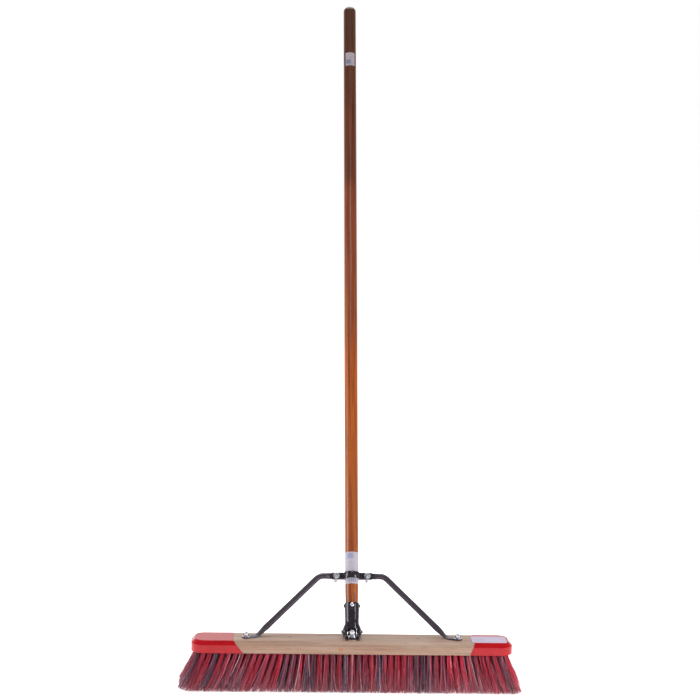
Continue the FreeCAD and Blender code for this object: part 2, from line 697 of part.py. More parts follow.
def make_bracket():
    """The base plate with its two front prongs and two upright side lugs."""
    body = new_body("bracket_body")
    half, front, rear = "sizes.plate_width / 2", "-sizes.plate_front", "sizes.plate_rear"
    tip = "-sizes.plate_front - sizes.prong_reach"
    inside = "(sizes.lug_inset + sizes.plate_thickness - sizes.prong_width)"
    edge = "(sizes.lug_inset + sizes.plate_thickness)"
    corners = [
        (half, rear),
        (half, front),
        (edge, front),
        (edge + " - 0.8", tip),
        (inside + " + 0.8", tip),
        (inside, front),
    ]
    left = [("-(%s)" % x, y) for x, y in corners[::-1]]
    pad(body, "plate", outline(body, "plate_plan", "XY_Plane", corners + left), "sizes.plate_thickness")
    high, low = "sizes.lug_height", "sizes.plate_thickness / 2"
    side_view = [
        ("-6.4", low),
        ("14", low),
        ("16.5", high + " * 0.55"),
        ("14.5", high + " * 0.9"),
        ("11", high),
        ("4", high),
        ("-0.5", high + " * 0.8"),
        ("-3.8", high + " * 0.45"),
    ]
    for side, name in ((-1, "left"), (1, "right")):
        shift = "sizes.lug_inset" if side > 0 else "-sizes.lug_inset - sizes.plate_thickness"
        lug = outline(body, "lug_" + name, "YZ_Plane", side_view, shift)
        pad(body, "lug_pad_" + name, lug, "sizes.plate_thickness")
    rivet_y = "sizes.lobe_height * sin(sizes.handle_lean)"
    rivet_z = "sizes.lobe_height * cos(sizes.handle_lean)"
    ring = discs(body, "lug_rivet", "YZ_Plane", [(rivet_y, rivet_z, "sizes.ear_rivet_diameter + 0.3")])
    pocket(body, "lug_rivet_cut", ring, "60", both_ways=True)
    bolt = discs(body, "bracket_bolt", "XY_Plane", [("0", "0", MAIN_HOLE)])
    pocket(body, "bracket_bolt_cut", bolt, "sizes.plate_thickness", reverse=True)
    return node(place(body, z=BLOCK_TOP), "base_bracket")


def nut(name, flats, height, hole):
    """A hex nut with its corners turned down at both faces."""
    blank = hexagon(name + "_hex", flats, height)
    barrel = cylinder(name + "_barrel", flats + " * 1.09", height)
    waist = height + " / 2"
    turned = fuse(
        name + "_turned",
        [
            cone(name + "_low", flats + " * 0.94", flats + " * 1.6", waist),
            cone(name + "_high", flats + " * 1.6", flats + " * 0.94", waist, waist),
        ],
    )
    body = common(name + "_body", [blank, barrel, turned])
    return cut(name, body, cylinder(name + "_hole", hole, height + " + 2", "-1"))


def washer(name, across, hole, thickness):
    disc = cylinder(name + "_disc", across, thickness)
    return cut(name, disc, cylinder(name + "_hole", hole, thickness + " + 2", "-1"))


def round_head_bolt(name, across, length, head, head_height):
    """A bolt standing on a low round head, its shank going up from zero."""
    return fuse(
        name,
        [
            cylinder(name + "_shank", across, length + " - 1", "-0.5"),
            cone(name + "_lead", across, across + " - 1.6", "0.9", length + " - 1.5"),
            cylinder(name + "_rim", head, "1.2", "-1.2"),
            cone(name + "_dome", head + " * 0.6", head, head_height + " - 1.2", "-" + head_height),
        ],
    )


def make_main_fasteners():
    stack = "sizes.plate_thickness"
    up = BLOCK_TOP + " + " + stack
    hole = "sizes.main_bolt_diameter + 0.4"
    plain = washer("main_washer_ring", "sizes.main_washer_diameter", hole, "sizes.main_washer_thickness")
    node(place(plain, z=up), "main_washer")
    up += " + sizes.main_washer_thickness"
    ring = washer("lock_ring", "sizes.lock_washer_diameter", hole, "sizes.lock_washer_thickness")
    slit = block_of("lock_slit", "12", "1.4", "10", "2", "-0.7", "-2")
    node(place(cut("lock_split", ring, slit), z=up), "main_lock_washer")
    up += " + sizes.lock_washer_thickness"
    hexed = nut("main_hex", "sizes.main_nut_flats", "sizes.main_nut_height", hole)
    node(place(hexed, z=up), "main_nut")
    length = (
        "sizes.block_thickness + sizes.plate_thickness + sizes.main_washer_thickness"
        " + sizes.lock_washer_thickness + sizes.main_nut_height + sizes.thread_stand"
    )
    bolt = round_head_bolt(
        "main_stud", "sizes.main_bolt_diameter", length, "sizes.main_head_diameter", "sizes.main_head_height"
    )
    node(place(bolt, z="sizes.trim_length"), "main_bolt")


def make_foot_fasteners():
    hole = "sizes.small_bolt + 0.4"
    for side, name in ((-1, "left"), (1, "right")):
        x, y = "%d * sizes.foot_bolt_out" % side, "-sizes.foot_bolt_forward"
        up = BLOCK_TOP + " + sizes.tab_thickness"
        ring = washer(
            "foot_ring_" + name, "sizes.small_washer_diameter", hole, "sizes.small_washer_thickness"
        )
        node(place(ring, x, y, up), "foot_washer_" + name)
        up += " + sizes.small_washer_thickness"
        hexed = nut("foot_hex_" + name, "sizes.small_nut_flats", "sizes.small_nut_height", hole)
        node(place(hexed, x, y, up), "foot_nut_" + name)
        length = (
            "sizes.block_thickness + sizes.tab_thickness + sizes.small_washer_thickness"
            " + sizes.small_nut_height + sizes.thread_stand"
        )
        bolt = round_head_bolt(
            "foot_stud_" + name, "sizes.small_bolt", length, "sizes.foot_head_diameter", "sizes.foot_head_height"
        )
        node(place(bolt, x, y, "sizes.trim_length"), "foot_bolt_" + name)


def flattened(middle, across, thick, half_width, half_height, square):
    """A closed ring between round and flat: two directions, two half sizes and how square it is."""
    spots = []
    for step in range(32):
        turn = 2 * math.pi * step / 32
        c, s = math.cos(turn), math.sin(turn)
        u = math.copysign(abs(c) ** (2.0 / square), c) * half_width
        v = math.copysign(abs(s) ** (2.0 / square), s) * half_height
        spots.append(middle + across * u + thick * v)
    ring = Part.BSplineCurve()
    ring.interpolate(spots, PeriodicFlag=True)
    return Part.Wire([ring.toShape()])


def plate_between(start, stop, across, up, width, thick):
    """A flat bar with a round far end, between two points of its middle plane."""
    way = (stop - start).normalize()
    corner = start - across * (width / 2) - up * (thick / 2)
    spots = [corner, corner + way * (stop - start).Length, None, None]
    spots[2] = spots[1] + across * width
    spots[3] = corner + across * width
    bar = Part.Face(Part.makePolygon(spots + [corner])).extrude(up * thick)
    end = Part.makeCylinder(width / 2, thick, stop - up * (thick / 2), up)
    return bar.fuse(end).removeSplitter()


def right_arm_shape():
    """The right brace arm: a tube bent at the elbow, pressed flat at the collar and at the block."""
    radius, thick = size("sizes.arm_diameter / 2"), size("sizes.tab_thickness")
    foot_width, grip_width = size("sizes.tab_width"), size("sizes.grip_width")
    collar = size("sizes.collar_height")
    along = Vector(1, 0, 0)
    square_to_strap = upright(0, 1, collar) - upright(0, 0, collar)
    up_handle = upright(0, 0, collar + 1) - upright(0, 0, collar)

    grip = upright(size("sizes.collar_bolt_out"), 0, collar)
    elbow = upright(size("sizes.elbow_out"), 0, collar)
    bolt = Vector(
        size("sizes.foot_bolt_out"), -size("sizes.foot_bolt_forward"), size(BLOCK_TOP) + thick / 2
    )
    # the foot carries on in the arm's own upright plane
    share = (size("sizes.foot_bend_out") - size("sizes.elbow_out")) / (
        size("sizes.foot_bolt_out") - size("sizes.elbow_out")
    )
    bend = Vector(
        elbow.x + (bolt.x - elbow.x) * share, elbow.y + (bolt.y - elbow.y) * share, bolt.z
    )
    down = (bend - elbow).normalize()
    out = (bolt - bend).normalize()
    across = Vector(0, 0, 1).cross(out)
    # flat rings keep their thin direction on the same side of the tube all the way
    square_to_arm = across.cross(down).normalize()

    # middle line of the round part: straight, elbow, straight
    turn = math.acos(along.dot(down))
    elbow_radius = size("sizes.elbow_radius")
    cut_back = elbow_radius * math.tan(turn / 2)
    first, second = elbow - along * cut_back, elbow + down * cut_back
    into = ((second - elbow) + (first - elbow)).normalize()
    hub = elbow + into * (elbow_radius / math.cos(turn / 2))
    flat_start = grip + along * (size("sizes.collar_reach") - size("sizes.collar_bolt_out"))
    start = flat_start + along * min(11.0, (first - flat_start).Length - 0.5)
    finish = bend - down * 22

    # rings from the collar tab, round the elbow, to the foot tab
    side_way = along.cross(down).normalize()
    neck, pinch = (radius + grip_width / 2) / 2, thick / 2 - 0.4
    rings = [
        flattened(flat_start - along * 1.5, up_handle, square_to_strap, grip_width / 2 - 0.5, pinch, 4),
        flattened(flat_start + along * 0.5, up_handle, square_to_strap, grip_width / 2 - 0.4, pinch, 4),
        flattened((start + flat_start) * 0.5, up_handle, square_to_strap, neck, radius * 0.6, 2.3),
        flattened(start, up_handle, square_to_strap, radius, radius, 2),
    ]
    steps = 6
    for step in range(steps + 1):
        spin = Rotation(side_way, math.degrees(turn) * step / steps)
        middle = hub + spin.multVec(first - hub)
        # the ring's own directions turn with the tube from the collar's to the foot's
        ahead = spin.multVec(along)
        blend = (up_handle * (1 - step / steps) + across * (step / steps)).normalize()
        flat = (blend - ahead * blend.dot(ahead)).normalize()
        rings.append(flattened(middle, flat, flat.cross(ahead), radius, radius, 2))
    # evenly spaced rings keep the long straight stretch straight
    spans = 8
    for step in range(1, spans + 1):
        middle = second + (finish - second) * (step / spans)
        rings.append(flattened(middle, across, square_to_arm, radius, radius, 2))
    rings += [
        flattened(bend - down * 12, across, square_to_arm, radius * 1.17, radius * 0.66, 2.3),
        flattened(bend - down * 4, across, square_to_arm, foot_width / 2 - 0.9, thick * 0.6, 3.5),
        flattened(bend + out * 2, across, Vector(0, 0, -1), foot_width / 2 - 0.6, pinch, 4),
        flattened(bend + out * 5, across, Vector(0, 0, -1), foot_width / 2 - 0.7, pinch, 4),
    ]
    tube = Part.makeLoft(rings, True)
    grip_tab = plate_between(flat_start, grip, up_handle, square_to_strap, grip_width, thick)
    foot_tab = plate_between(bend + out * 3, bolt, across, Vector(0, 0, 1), foot_width, thick)
    arm = tube.fuse([grip_tab, foot_tab])
    hole = size(SMALL_HOLE) / 2
    holes = [
        Part.makeCylinder(hole, 20, grip - square_to_strap * 10, square_to_strap),
        Part.makeCylinder(hole, 20, bolt - Vector(0, 0, 10), Vector(0, 0, 1)),
    ]
    # the tube's bore, closed at both ends by the pressed parts
    crown = hub - into * elbow_radius
    path = Part.Wire(
        [
            Part.makeLine(start, first),
            Part.Arc(first, crown, second).toShape(),
            Part.makeLine(second, finish),
        ]
    )
    bore_ring = Part.Wire([Part.makeCircle(radius - size("sizes.arm_wall"), start, along)])
    bore = path.makePipeShell([bore_ring], True, True)
    return arm.cut(holes + [bore])


def make_arms():
    right = right_arm_shape()
    node(from_shape("arm_right", right), "brace_arm_right")
    left = right.mirror(Vector(0, 0, 0), Vector(1, 0, 0))
    node(from_shape("arm_left", left), "brace_arm_left")


def make_collar():
    """Two half straps round the handle label, their ears gripping the flattened arm ends."""
    gap, strap = "(sizes.tab_thickness / 2)", "sizes.collar_strap"
    inner = "(sizes.handle_diameter / 2 + sizes.label_thickness)"
    reach, wide = "sizes.collar_reach", "sizes.collar_width"
    for sign, name in ((-1, "front"), (1, "rear")):
        ring = cylinder("collar_ring_" + name, "2 * (%s + %s)" % (inner, strap), wide, "-%s / 2" % wide)
        low = "%s" % gap if sign > 0 else "-%s - %s" % (gap, strap)
        ears = block_of(
            "collar_ears_" + name, "2 * " + reach, strap, wide, "-" + reach, low, "-%s / 2" % wide
        )
        half = block_of(
            "collar_half_" + name, "60", "30", wide, "-30", gap if sign > 0 else "-30 - " + gap, "-%s / 2" % wide
        )
        arch = common("collar_arch_" + name, [ring, half])
        blank = fuse("collar_blank_" + name, [arch, ears])
        bore = cylinder("collar_bore_" + name, "2 * " + inner, "2 * " + wide, "-" + wide)
        holes = []
        for side, word in ((-1, "left"), (1, "right")):
            hole = cylinder("collar_hole_%s_%s" % (name, word), SMALL_HOLE, "20")
            hole.Placement = Placement(Vector(0, 0, 0), Rotation(Vector(-1, 0, 0), 90))
            place(hole, "%d * sizes.collar_bolt_out" % side, "-10", "0")
            holes.append(hole)
        tools = fuse("collar_tools_" + name, [bore] + holes)
        strap_part = cut("collar_strap_" + name, blank, tools)
        node(lean(strap_part, "sizes.collar_height"), "collar_" + name)


def make_collar_fasteners():
    face = "(sizes.tab_thickness / 2 + sizes.collar_strap)"
    for side, name in ((-1, "left"), (1, "right")):
        x = "%d * sizes.collar_bolt_out" % side
        length = "sizes.collar_bolt_length"
        pieces = [
            cylinder("clamp_shank_" + name, "sizes.small_bolt", length + " - 1"),
            cone("clamp_lead_" + name, "sizes.small_bolt", "sizes.small_bolt - 1.6", "1", length + " - 1"),
            cylinder("clamp_face_" + name, "sizes.collar_head_flange", "1.1", "-1.1"),
            hexagon(
                "clamp_hex_" + name, "sizes.collar_head_flats", "sizes.collar_head_height - 0.6",
                "-sizes.collar_head_height",
            ),
        ]
        dimple = cone(
            "clamp_dimple_" + name, "sizes.collar_head_flats * 0.62", "sizes.collar_head_flats * 0.5", "1.2",
            "-sizes.collar_head_height - 0.001",
        )
        bolt = cut("clamp_" + name, fuse("clamp_blank_" + name, pieces), dimple)
        node(along_bolt(bolt, x, "-" + face, "sizes.collar_height"), "collar_bolt_" + name)
        hexed = nut("clamp_nut_" + name, "sizes.small_nut_flats", "sizes.small_nut_height", "sizes.small_bolt + 0.4")
        node(along_bolt(hexed, x, face, "sizes.collar_height"), "collar_nut_" + name)


def make_labels():
    """Thin paper on the handle, round it under the collar, and on the block's right end."""
    inner = "sizes.handle_diameter / 2"
    outer = inner + " + sizes.label_thickness"
    sticker_high = "sizes.handle_top - sizes.sticker_drop"
    sticker_low = sticker_high + " - sizes.sticker_height"
    bands = (
        ("handle_label", "sizes.label_low", "sizes.label_high", "360"),
        ("handle_sticker", sticker_low, sticker_high, "sizes.sticker_arc"),
    )
    for name, low, high, arc in bands:
        body = new_body(name + "_body")
        # the profile stands on the front side, so a part turn stays centred there
        corners = [("-(%s)" % inner, low), ("-(%s)" % outer, low), ("-(%s)" % outer, high), ("-(%s)" % inner, high)]
        revolve(body, name + "_turn", outline(body, name + "_profile", "YZ_Plane", corners), arc)
        node(lean(body), name)

    body = new_body("decal_body")
    left, right = "sizes.decal_inner", "sizes.decal_outer"
    front, rear = "-sizes.decal_front", "sizes.decal_rear"
    corners = [(left, front), (right, front), (right, rear), (left, rear)]
    sheet_pad = pad(body, "decal_pad", outline(body, "decal_plan", "XY_Plane", corners), "sizes.label_thickness")
    upright_edge = lambda edge: abs(edge.tangentAt(edge.FirstParameter).z) > 0.99
    dress(body, "decal_corners", "Fillet", sheet_pad, upright_edge, "sizes.decal_corner")
    node(place(body, z=BLOCK_TOP + " + sizes.coat_thickness"), "block_sticker")


make_block()
make_coats()
make_tufts()
make_handle()
make_socket()
make_socket_fasteners()
make_bracket()
make_main_fasteners()
make_arms()
make_foot_fasteners()
make_collar()
make_collar_fasteners()
make_labels()
doc.recompute()

for thing in doc.Objects:
    if "Invalid" in thing.State or "Error" in thing.State:
        raise RuntimeError("%s did not compute: %s" % (thing.Name, thing.State))
os.makedirs("parts", exist_ok=True)
for part in nodes:
    if part.Shape.isNull() or not part.Shape.isValid() or not part.Shape.Solids:
        raise RuntimeError("%s has no valid solid" % part.Label)
    part.Shape.exportStep("parts/%s.step" % part.Label)
print("%d sub-parts written" % len(nodes))
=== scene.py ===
"""A 24 inch push broom: hardwood block dipped red at both ends, mixed synthetic bristles, black
braced socket and a lacquered 54 inch handle."""

import json
import math

import bpy
import numpy as np
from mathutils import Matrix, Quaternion, Vector

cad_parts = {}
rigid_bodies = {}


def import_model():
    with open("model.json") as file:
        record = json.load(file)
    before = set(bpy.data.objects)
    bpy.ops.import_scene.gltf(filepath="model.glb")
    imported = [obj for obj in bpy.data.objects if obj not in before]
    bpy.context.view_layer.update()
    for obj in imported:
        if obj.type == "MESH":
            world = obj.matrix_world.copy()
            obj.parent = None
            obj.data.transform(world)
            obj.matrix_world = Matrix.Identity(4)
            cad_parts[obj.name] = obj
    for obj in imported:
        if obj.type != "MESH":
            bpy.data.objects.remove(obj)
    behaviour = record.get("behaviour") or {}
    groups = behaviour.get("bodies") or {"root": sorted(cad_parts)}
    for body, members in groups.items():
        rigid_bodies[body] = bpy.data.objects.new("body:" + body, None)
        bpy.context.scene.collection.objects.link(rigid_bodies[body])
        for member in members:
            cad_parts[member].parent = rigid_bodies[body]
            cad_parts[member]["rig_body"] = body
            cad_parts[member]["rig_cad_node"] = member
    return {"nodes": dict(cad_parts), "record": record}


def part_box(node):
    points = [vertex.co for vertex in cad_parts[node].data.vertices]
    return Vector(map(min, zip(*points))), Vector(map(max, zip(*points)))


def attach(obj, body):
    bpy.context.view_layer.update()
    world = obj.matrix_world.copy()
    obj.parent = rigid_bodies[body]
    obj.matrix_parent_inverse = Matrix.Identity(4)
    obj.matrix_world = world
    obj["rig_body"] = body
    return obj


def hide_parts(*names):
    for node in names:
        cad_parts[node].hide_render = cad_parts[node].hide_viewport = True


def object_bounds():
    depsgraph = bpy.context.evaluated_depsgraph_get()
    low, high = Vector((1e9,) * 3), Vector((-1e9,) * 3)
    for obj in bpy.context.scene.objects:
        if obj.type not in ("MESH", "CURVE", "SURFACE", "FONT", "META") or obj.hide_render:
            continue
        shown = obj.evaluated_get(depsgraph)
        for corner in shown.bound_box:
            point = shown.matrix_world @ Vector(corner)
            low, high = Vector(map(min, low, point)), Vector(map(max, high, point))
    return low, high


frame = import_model()
cad_low, cad_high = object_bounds()

MM = 0.001
NODES = frame["nodes"]
MOUNTS = {m["name"]: m for m in frame["record"]["mounts"]}

# the handle's own frame: HANDLE_AXIS runs up the handle from SOCKET_FOOT, the middle of the block's top
HANDLE_AXIS = Vector(MOUNTS["handle_grip"]["axis"]).normalized()
LEAN = math.atan2(HANDLE_AXIS.y, HANDLE_AXIS.z)
BLOCK_LOW, BLOCK_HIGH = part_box("block")
SOCKET_FOOT = Vector((0, 0, BLOCK_HIGH.z))
# the top end of the handle along that axis, where its stain ends
HANDLE_LENGTH = 1384 * MM


# ---------------------------------------------------------------- materials


def colour(code):
    """An sRGB hex colour as linear red, green, blue and alpha."""
    parts = [int(code[i : i + 2], 16) / 255 for i in (0, 2, 4)]
    return [p / 12.92 if p <= 0.04045 else ((p + 0.055) / 1.055) ** 2.4 for p in parts] + [1.0]


def material(name, base, roughness, metallic=0.0, **more):
    """A material on one principled shader; more are further sockets, with _ for a space."""
    mat = bpy.data.materials.new(name)
    mat.use_nodes = True
    shader = mat.node_tree.nodes["Principled BSDF"]
    shader.inputs["Base Color"].default_value = colour(base)
    shader.inputs["Roughness"].default_value = roughness
    shader.inputs["Metallic"].default_value = metallic
    for socket, value in more.items():
        shader.inputs[socket.replace("_", " ")].default_value = value
    return mat


def add(mat, kind, values=None, links=None, **settings):
    """Adds a node: values and links by input name or number, links from a node's first or named output."""
    made = mat.node_tree.nodes.new("ShaderNode" + kind)
    for name, value in settings.items():
        setattr(made, name, value)
    for name, value in (values or {}).items():
        made.inputs[name].default_value = value
    for name, source in (links or {}).items():
        source, output = source if isinstance(source, tuple) else (source, 0)
        mat.node_tree.links.new(source.outputs[output], made.inputs[name])
    return made


def feed(mat, socket, source, output=0):
    """Links a node to a socket of the material's shader."""
    shader = mat.node_tree.nodes["Principled BSDF"]
    mat.node_tree.links.new(source.outputs[output], shader.inputs[socket])


def ramp(mat, source, stops):
    """A colour ramp with stops given as (place, hex colour)."""
    made = add(mat, "ValToRGB", links={0: source})
    elements = made.color_ramp.elements
    while len(elements) > 1:
        elements.remove(elements[-1])
    elements[0].position = stops[0][0]
    elements[0].color = colour(stops[0][1])
    for place, code in stops[1:]:
        elements.new(place).color = colour(code)
    return made


def stretched(mat, source, sizes_mm, detail=3.0, **values):
    """Noise whose grains measure sizes_mm along the three axes."""
    scaled = add(
        mat, "Mapping", {"Scale": [1 / (s * MM) for s in sizes_mm]}, {"Vector": source}, vector_type="POINT"
    )
    return add(mat, "TexNoise", {"Scale": 1.0, "Detail": detail, **values}, {"Vector": scaled})


def mixed(mat, factor, first, second, blend="MIX", amount=None):
    """Two colours mixed by a factor node, or by a fixed amount."""
    made = add(mat, "Mix", data_type="RGBA", blend_type=blend)
    tree = mat.node_tree
    if factor is not None:
        tree.links.new(factor.outputs[0], made.inputs[0])
    else:
        made.inputs[0].default_value = amount
    for number, source in ((6, first), (7, second)):
        if isinstance(source, str):
            made.inputs[number].default_value = colour(source)
        elif isinstance(source, tuple):
            tree.links.new(source[0].outputs[source[1]], made.inputs[number])
        else:
            tree.links.new(source.outputs[0], made.inputs[number])
    return (made, 2)


def bump(mat, source, depth_mm, strength):
    """A bump of a given depth, linked to the shader's normal."""
    made = add(mat, "Bump", {"Strength": strength, "Distance": depth_mm * MM}, {"Height": source})
    feed(mat, "Normal", made)


def object_place(mat):
    """The object's own coordinates."""
    return (add(mat, "TexCoord"), "Object")


def handle_place(mat):
    """Object coordinates turned and moved into the handle's own frame, z up the handle."""
    return add(
        mat,
        "Mapping",
        {
            "Rotation": (LEAN, 0, 0),
            "Location": (0, SOCKET_FOOT.z * math.sin(LEAN), -SOCKET_FOOT.z * math.cos(LEAN)),
        },
        {"Vector": object_place(mat)},
        vector_type="POINT",
    )


def within(mat, source, low, high):
    """1 where a value lies between low and high, else 0."""
    over = add(mat, "Math", {1: low}, {0: source}, operation="GREATER_THAN")
    under = add(mat, "Math", {1: high}, {0: source}, operation="LESS_THAN")
    return add(mat, "Math", links={0: over, 1: under}, operation="MULTIPLY")


def print_patch(mat, axes, spans):
    """1 on a printed patch: spans gives (axis number, low, high) for each axis that bounds it."""
    made = None
    for axis, low, high in spans:
        inside = within(mat, (axes, axis), low * MM, high * MM)
        made = add(mat, "Math", links={0: made, 1: inside}, operation="MULTIPLY") if made else inside
    return made


# Bare maple, planed and sanded with 120 grit: pale tan, long even grain along the block, fine dark
# pores, a few small knots and a scorch mark from the planer.
def sanded_hardwood():
    mat = material("bare_sanded_hardwood", "C8AB8D", 0.5, IOR=1.5)
    place = object_place(mat)
    bands = stretched(mat, place, (160, 9, 7), 4.0, Distortion=0.6)
    tone = ramp(mat, bands, [(0.30, "96796A"), (0.45, "A08572"), (0.58, "AA9080"), (0.74, "B09A8A")])
    pores = stretched(mat, place, (14, 0.7, 0.7), 2.0)
    pore_mask = ramp(mat, pores, [(0.34, "B59B82"), (0.46, "FFFFFF")])
    wood = mixed(mat, None, (tone, 0), (pore_mask, 0), "MULTIPLY", 0.35)
    broad = stretched(mat, place, (320, 38, 30), 1.0)
    warm = ramp(mat, broad, [(0.35, "F3DCCB"), (0.65, "FFFFFF")])
    wood = mixed(mat, None, wood, (warm, 0), "MULTIPLY", 0.8)
    foot, top = BLOCK_LOW.z / MM, BLOCK_HIGH.z / MM
    front, rear = BLOCK_LOW.y / MM, BLOCK_HIGH.y / MM
    marks = [
        # place in mm, half sizes in mm, colour
        ((-118, 2, top), (2.6, 5, 4), "5A3E2C"),
        ((126, 0, top), (2.6, 5, 4), "5E4432"),
        ((-57, 16, top), (13, 6, 4), "80695C"),
        ((-23, front, foot + 9), (5.5, 4, 3.4), "A06A30"),
        ((64, front, foot + 13), (7, 4, 2.6), "A07C58"),
        ((-150, rear, foot + 11), (6, 4, 4), "80603E"),
        ((88, rear, foot + 7), (3, 4, 2.4), "7A5838"),
    ]
    for middle, half, code in marks:
        near = add(
            mat,
            "Mapping",
            {
                "Location": [-m / h for m, h in zip(middle, half)],
                "Scale": [1 / (h * MM) for h in half],
            },
            {"Vector": place},
            vector_type="POINT",
        )
        length = add(mat, "VectorMath", links={0: near}, operation="LENGTH")
        fade = add(
            mat,
            "MapRange",
            {"From Min": 0.35, "From Max": 1.15, "To Min": 0.85, "To Max": 0.0},
            {"Value": (length, "Value")},
        )
        wood = mixed(mat, fade, wood, code)
    feed(mat, "Base Color", *wood)
    bump(mat, pores, 0.08, 0.5)
    return mat


# Red resin the block's ends were dipped in and hung up to cure: deep red, glossy, with the slow
# waviness of a thick coat that ran a little.
def dipped_resin():
    mat = material("red_dipped_resin", "A80012", 0.09, IOR=1.4)
    waves = stretched(mat, object_place(mat), (14, 9, 7), 1.5)
    tone = ramp(mat, waves, [(0.35, "A20010"), (0.65, "AE0414")])
    feed(mat, "Base Color", tone)
    bump(mat, waves, 0.25, 0.35)
    return mat


# Hardwood turned round, stained from orange-brown to dark brown towards the top and lacquered: fine
# straight grain under a clear gloss.
def lacquered_wood():
    gloss = {"IOR": 1.42, "Coat_Weight": 0.2, "Coat_Roughness": 0.16}
    mat = material("lacquered_turned_hardwood", "87462C", 0.34, **gloss)
    place = handle_place(mat)
    height = add(mat, "SeparateXYZ", links={0: place})
    share = add(mat, "Math", {1: HANDLE_LENGTH}, {0: (height, 2)}, operation="DIVIDE")
    stain_mm = [
        (30, "8E4A1E"),
        (100, "A4561C"),
        (190, "9A4C1C"),
        (300, "A85614"),
        (478, "B05810"),
        (549, "AE5610"),
        (669, "914A20"),
        (940, "884422"),
        (976, "6C3518"),
        (1110, "662F0C"),
        (1250, "55290B"),
        (1384, "47230A"),
    ]
    stain = ramp(mat, share, [(t * MM / HANDLE_LENGTH, code) for t, code in stain_mm])
    grain = stretched(mat, place, (1.6, 1.6, 120), 3.0)
    dark = ramp(mat, grain, [(0.36, "9A8072"), (0.52, "FFFFFF")])
    wood = mixed(mat, None, (stain, 0), (dark, 0), "MULTIPLY", 0.75)
    figure = stretched(mat, place, (7, 7, 260), 2.0, Distortion=0.4)
    light = ramp(mat, figure, [(0.40, "E2CFC2"), (0.62, "FFFFFF")])
    wood = mixed(mat, None, wood, (light, 0), "MULTIPLY", 0.8)
    feed(mat, "Base Color", *wood)
    bump(mat, grain, 0.03, 0.5)
    return mat


# Steel with black powder coat: soft black with a violet cast and fine orange peel that spreads
# the highlights.
def powder_coat():
    mat = material("black_powder_coated_steel", "352B37", 0.33, IOR=1.5)
    peel = stretched(mat, object_place(mat), (1.3, 1.3, 1.3), 1.0)
    tone = ramp(mat, peel, [(0.3, "30272F"), (0.7, "3C3140")])
    feed(mat, "Base Color", tone)
    bump(mat, peel, 0.05, 0.5)
    return mat


# Pressed steel sheet, dipped in black enamel and baked: darker and glossier than the tubes' powder
# coat, so the lamps show in it as crisp streaks.
def baked_enamel():
    mat = material("black_baked_enamel_on_steel", "231C26", 0.17, IOR=1.5)
    flow = stretched(mat, object_place(mat), (4, 4, 4), 1.0)
    feed(mat, "Base Color", ramp(mat, flow, [(0.3, "1F1822"), (0.7, "28202B")]))
    bump(mat, flow, 0.06, 0.4)
    return mat


# Cold-headed steel, bright zinc plated: grey with a cold cast, cloudy where the plating is thicker.
def zinc_plate():
    mat = material("bright_zinc_plated_steel", "C8CAD2", 0.26, 1.0)
    clouds = stretched(mat, object_place(mat), (2.2, 2.2, 2.2), 2.0)
    spread = add(
        mat, "MapRange", {"From Min": 0.3, "From Max": 0.7, "To Min": 0.2, "To Max": 0.36}, {"Value": clouds}
    )
    feed(mat, "Roughness", spread)
    feed(mat, "Base Color", ramp(mat, clouds, [(0.3, "B9BBC4"), (0.7, "D4D6DC")]))
    return mat


def steel_wire():
    """Drawn steel wire of the tuft anchors, dull grey with drawing lines along it."""
    mat = material("drawn_steel_wire", "9A9A98", 0.38, 1.0)
    lines = stretched(mat, object_place(mat), (6, 0.3, 0.3), 1.0)
    feed(mat, "Base Color", ramp(mat, lines, [(0.3, "868684"), (0.7, "A6A6A3")]))
    return mat


# Coated white label paper, offset printed: a satin white with a cold grey cast and grey-blue blocks
# of print, the words on it left out.
def label_paper(name, patches, place=object_place, tone="B6B0B9"):
    mat = material(name, tone, 0.42, IOR=1.48)
    where = place(mat)
    fibres = stretched(mat, where, (2.5, 2.5, 2.5), 3.0)
    cloud = ramp(mat, fibres, [(0.3, "EDEBEF"), (0.7, "FFFFFF")])
    paper = mixed(mat, None, tone, (cloud, 0), "MULTIPLY", 1.0)
    axes = add(mat, "SeparateXYZ", links={0: where})
    for spans, ink in patches:
        paper = mixed(mat, print_patch(mat, axes, spans), paper, ink)
    feed(mat, "Base Color", *paper)
    bump(mat, fibres, 0.02, 0.4)
    return mat


# Extruded polypropylene fibre, each filament in one of the mixed colours of the bundle, satin; some of those
# colours are painted sheen and painted highlights on the filaments.
def synthetic_fibre():
    mat = material("mixed_synthetic_fibre", "8A3040", 0.5, IOR=1.49)
    tint = add(mat, "Attribute", attribute_name="fibre_tint_and_highlight", attribute_type="GEOMETRY")
    feed(mat, "Base Color", tint)
    return mat


HARDWOOD = sanded_hardwood()
RESIN = dipped_resin()
LACQUER = lacquered_wood()
POWDER_COAT = powder_coat()
ENAMEL = baked_enamel()
ZINC = zinc_plate()
WIRE = steel_wire()
FIBRE = synthetic_fibre()

